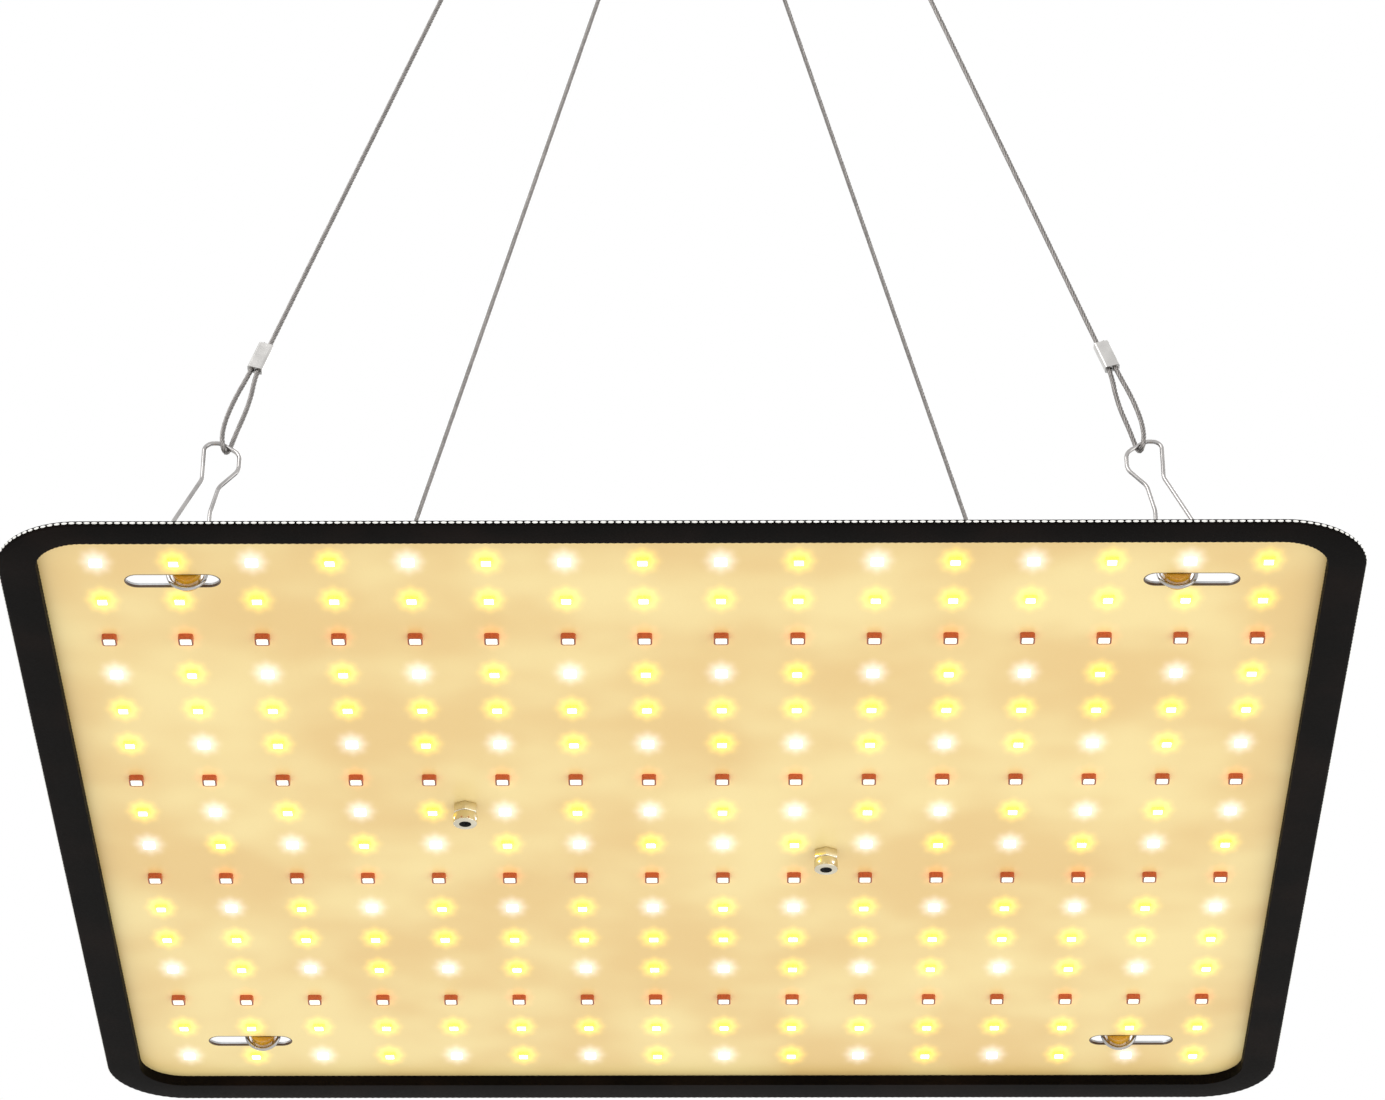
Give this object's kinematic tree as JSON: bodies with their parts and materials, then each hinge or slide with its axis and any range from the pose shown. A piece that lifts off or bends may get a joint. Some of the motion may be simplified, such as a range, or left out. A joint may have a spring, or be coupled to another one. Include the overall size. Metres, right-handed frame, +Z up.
{
  "type": "LED grow light",
  "caption": "Flat square panel of white and red lights in a ribbed black edge guard, hung level by wire hooks and two rope bridles on carabiners, with a driver on its back.",
  "frame": {"origin": "midway between the inner crowns of the two carabiners, where the light hangs", "axes": "+Z up, lights facing down; +X to the right along the panel, +Y towards its rear edge"},
  "size_m": [0.31, 0.31, 0.4014],
  "materials": {
    "board_finish": "cream solder-mask coating on aluminium, satin",
    "guard_rubber": "matt black with fine cross ribs",
    "cool_white_phosphor": "lit, cool white",
    "warm_white_phosphor": "lit, warm white",
    "deep_red_lens": "lit, cream window with an orange-red rim",
    "wire_rope": "laid from fine bright wires",
    "ferrule_metal": "pressed, satin",
    "carabiner_steel": "polished",
    "pin_steel": "satin",
    "hook_steel": "bright spring wire",
    "saddle_plastic": "translucent amber",
    "case_metal": "light grey, satin",
    "gland_plastic": "matt black",
    "grommet_rubber": "matt black",
    "lead_red": "glossy insulation",
    "lead_black": "glossy insulation",
    "socket_plastic": "ivory",
    "circuit_laminate": "green laminate",
    "ferrite": "dark grey, matt",
    "copper_winding": "yellow tape over copper",
    "capacitor_can": "dark sleeve with a bare end",
    "choke_winding": "enamelled copper over a core",
    "epoxy_package": "black, with a bare metal tab",
    "fuse_glass": "clear",
    "standoff_nylon": "natural nylon",
    "pad_silicone": "grey, soft",
    "zinc_steel": "zinc plated",
    "nut_plating": "bright plated"
  },
  "bodies": {
    "hangers": {"carabiner_front": "carabiner_steel", "carabiner_rear": "carabiner_steel", "gate_pin_front": "pin_steel", "gate_pin_rear": "pin_steel"},
    "light": {"board_connector": "socket_plastic", "board_standoffs": "standoff_nylon", "bulk_capacitor": "capacitor_can", "choke": "choke_winding", "cool_white_leds": "cool_white_phosphor", "cover_screws": "zinc_steel", "deep_red_leds": "deep_red_lens", "driver_base": "case_metal", "driver_circuit_board": "circuit_laminate", "driver_cover": "case_metal", "driver_screws": "zinc_steel", "driver_spacers": "zinc_steel", "edge_guard": "guard_rubber", "ferrules_front": "ferrule_metal", "ferrules_rear": "ferrule_metal", "fuse": "fuse_glass", "hook_front_left": "hook_steel", "hook_front_right": "hook_steel", "hook_rear_left": "hook_steel", "hook_rear_right": "hook_steel", "hook_saddle_front_left": "saddle_plastic", "hook_saddle_front_right": "saddle_plastic", "hook_saddle_rear_left": "saddle_plastic", "hook_saddle_rear_right": "saddle_plastic", "input_gland": "gland_plastic", "lead_negative": "lead_black", "lead_positive": "lead_red", "led_board": "board_finish", "lock_nuts": "nut_plating", "output_capacitors": "capacitor_can", "output_grommet": "grommet_rubber", "power_transistors": "epoxy_package", "rope_front": "wire_rope", "rope_rear": "wire_rope", "thermal_pad": "pad_silicone", "transformer_core": "ferrite", "transformer_winding": "copper_winding", "warm_white_leds": "warm_white_phosphor"},
    "gate_front": {"gate_front": "carabiner_steel"},
    "gate_rear": {"gate_rear": "carabiner_steel"}
  },
  "joints": [
    {"name": "light_swing", "type": "hinge", "parent": "hangers", "child": "light", "pos_m": [0, 0, -0.02675], "axis": [0, 1, 0], "range_deg": [-30, 30]},
    {"name": "front_gate_open", "type": "hinge", "parent": "hangers", "child": "gate_front", "pos_m": [0, -0.05898, -0.0158], "axis": [-1, 0, 0], "range_deg": [0, 25], "stiffness_Nm_per_rad": 0.03, "springref_deg": -17.19},
    {"name": "rear_gate_open", "type": "hinge", "parent": "hangers", "child": "gate_rear", "pos_m": [0, 0.05898, -0.0158], "axis": [1, 0, 0], "range_deg": [0, 25], "stiffness_Nm_per_rad": 0.03, "springref_deg": -17.19}
  ]
}
